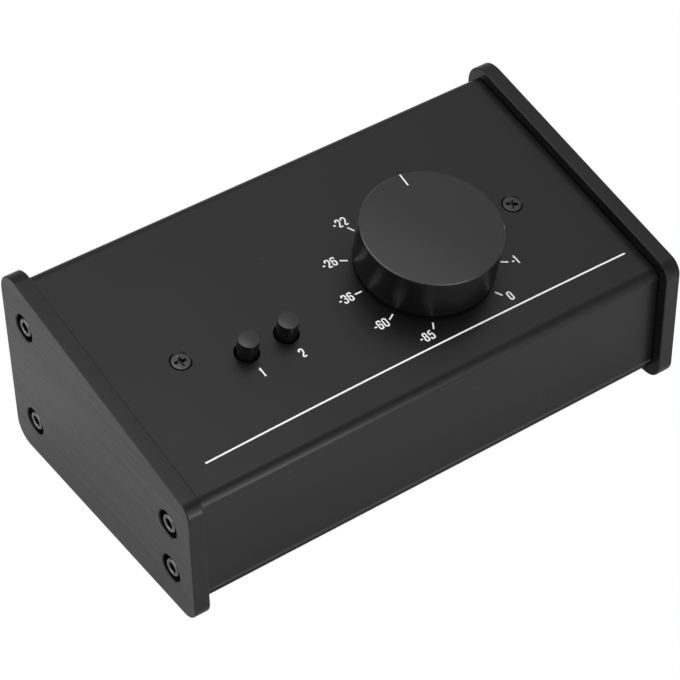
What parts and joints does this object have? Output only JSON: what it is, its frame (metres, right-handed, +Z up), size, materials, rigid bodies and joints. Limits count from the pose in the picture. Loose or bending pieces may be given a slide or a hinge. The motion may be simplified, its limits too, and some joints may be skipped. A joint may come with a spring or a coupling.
{
  "type": "studio monitor controller",
  "caption": "Desktop wedge case between thick end plates, with a large level knob and push buttons on the sloped top and jacks in the rear wall.",
  "frame": {"origin": "on the desk surface under the feet, midway between the end plates and midway between front and rear", "axes": "+X along the case to the viewer's right, +Y to the rear with the jacks, +Z up"},
  "size_m": [0.165, 0.0918, 0.0682],
  "materials": {
    "case_black": "fine satin black coat on aluminium",
    "plate_black": "brushed lengthwise, black anodised",
    "knob_black": "turned, black anodised, satin",
    "button_black": "moulded, slightly glossy",
    "black_screw": "black oxide",
    "zinc": "zinc or nickel plated",
    "brass": "bare, turned",
    "rubber": "matt",
    "board": "glass-fibre board with green solder mask",
    "moulded_black": "moulded",
    "ribbon": "grey flat cable",
    "white_print": "screen-printed ink"
  },
  "bodies": {
    "case": {"case_shell": "case_black", "bottom_cover": "case_black", "left_end_plate": "plate_black", "right_end_plate": "plate_black", "left_front_lower_plate_screw": "black_screw", "left_front_upper_plate_screw": "black_screw", "left_rear_upper_plate_screw": "black_screw", "left_rear_lower_plate_screw": "black_screw", "right_front_lower_plate_screw": "black_screw", "right_front_upper_plate_screw": "black_screw", "right_rear_upper_plate_screw": "black_screw", "right_rear_lower_plate_screw": "black_screw", "front_left_cover_screw": "black_screw", "front_right_cover_screw": "black_screw", "rear_left_cover_screw": "black_screw", "rear_right_cover_screw": "black_screw", "front_left_foot": "rubber", "front_right_foot": "rubber", "rear_left_foot": "rubber", "rear_right_foot": "rubber", "left_panel_screw": "black_screw", "right_panel_screw": "black_screw", "left_standoff": "brass", "right_standoff": "brass", "left_board_screw": "zinc", "right_board_screw": "zinc", "control_board": "board", "control_bushing": "zinc", "control_case": "moulded_black", "control_washer": "zinc", "control_nut": "zinc", "left_switch_body": "moulded_black", "right_switch_body": "moulded_black", "left_spring": "zinc", "right_spring": "zinc", "left_input_jack": "moulded_black", "right_input_jack": "moulded_black", "left_output_jack": "moulded_black", "right_output_jack": "moulded_black", "left_input_washer": "zinc", "right_input_washer": "zinc", "left_output_washer": "zinc", "right_output_washer": "zinc", "left_input_nut": "zinc", "right_input_nut": "zinc", "left_output_nut": "zinc", "right_output_nut": "zinc", "jack_board": "board", "control_connector": "moulded_black", "jack_connector": "moulded_black", "ribbon_cable": "ribbon"},
    "dial": {"knob": "knob_black", "knob_set_screw": "black_screw", "control_shaft": "zinc"},
    "left_button": {"left_button_cap": "button_black", "left_plunger": "moulded_black"},
    "right_button": {"right_button_cap": "button_black", "right_plunger": "moulded_black"}
  },
  "joints": [
    {"name": "dial_turn", "type": "hinge", "parent": "case", "child": "dial", "pos_m": [0.02155, -0.00718, 0.04914], "axis": [0, 0.2263, -0.9741], "range_deg": [-160, 140]},
    {"name": "left_button_press", "type": "slide", "parent": "case", "child": "left_button", "axis": [0, 0.2263, -0.9741], "range_m": [0, 0.0025], "stiffness_N_per_m": 300, "springref_m": -0.002, "deforming": ["left_spring"]},
    {"name": "right_button_press", "type": "slide", "parent": "case", "child": "right_button", "axis": [0, 0.2263, -0.9741], "range_m": [0, 0.0025], "stiffness_N_per_m": 300, "springref_m": -0.002, "deforming": ["right_spring"]}
  ]
}
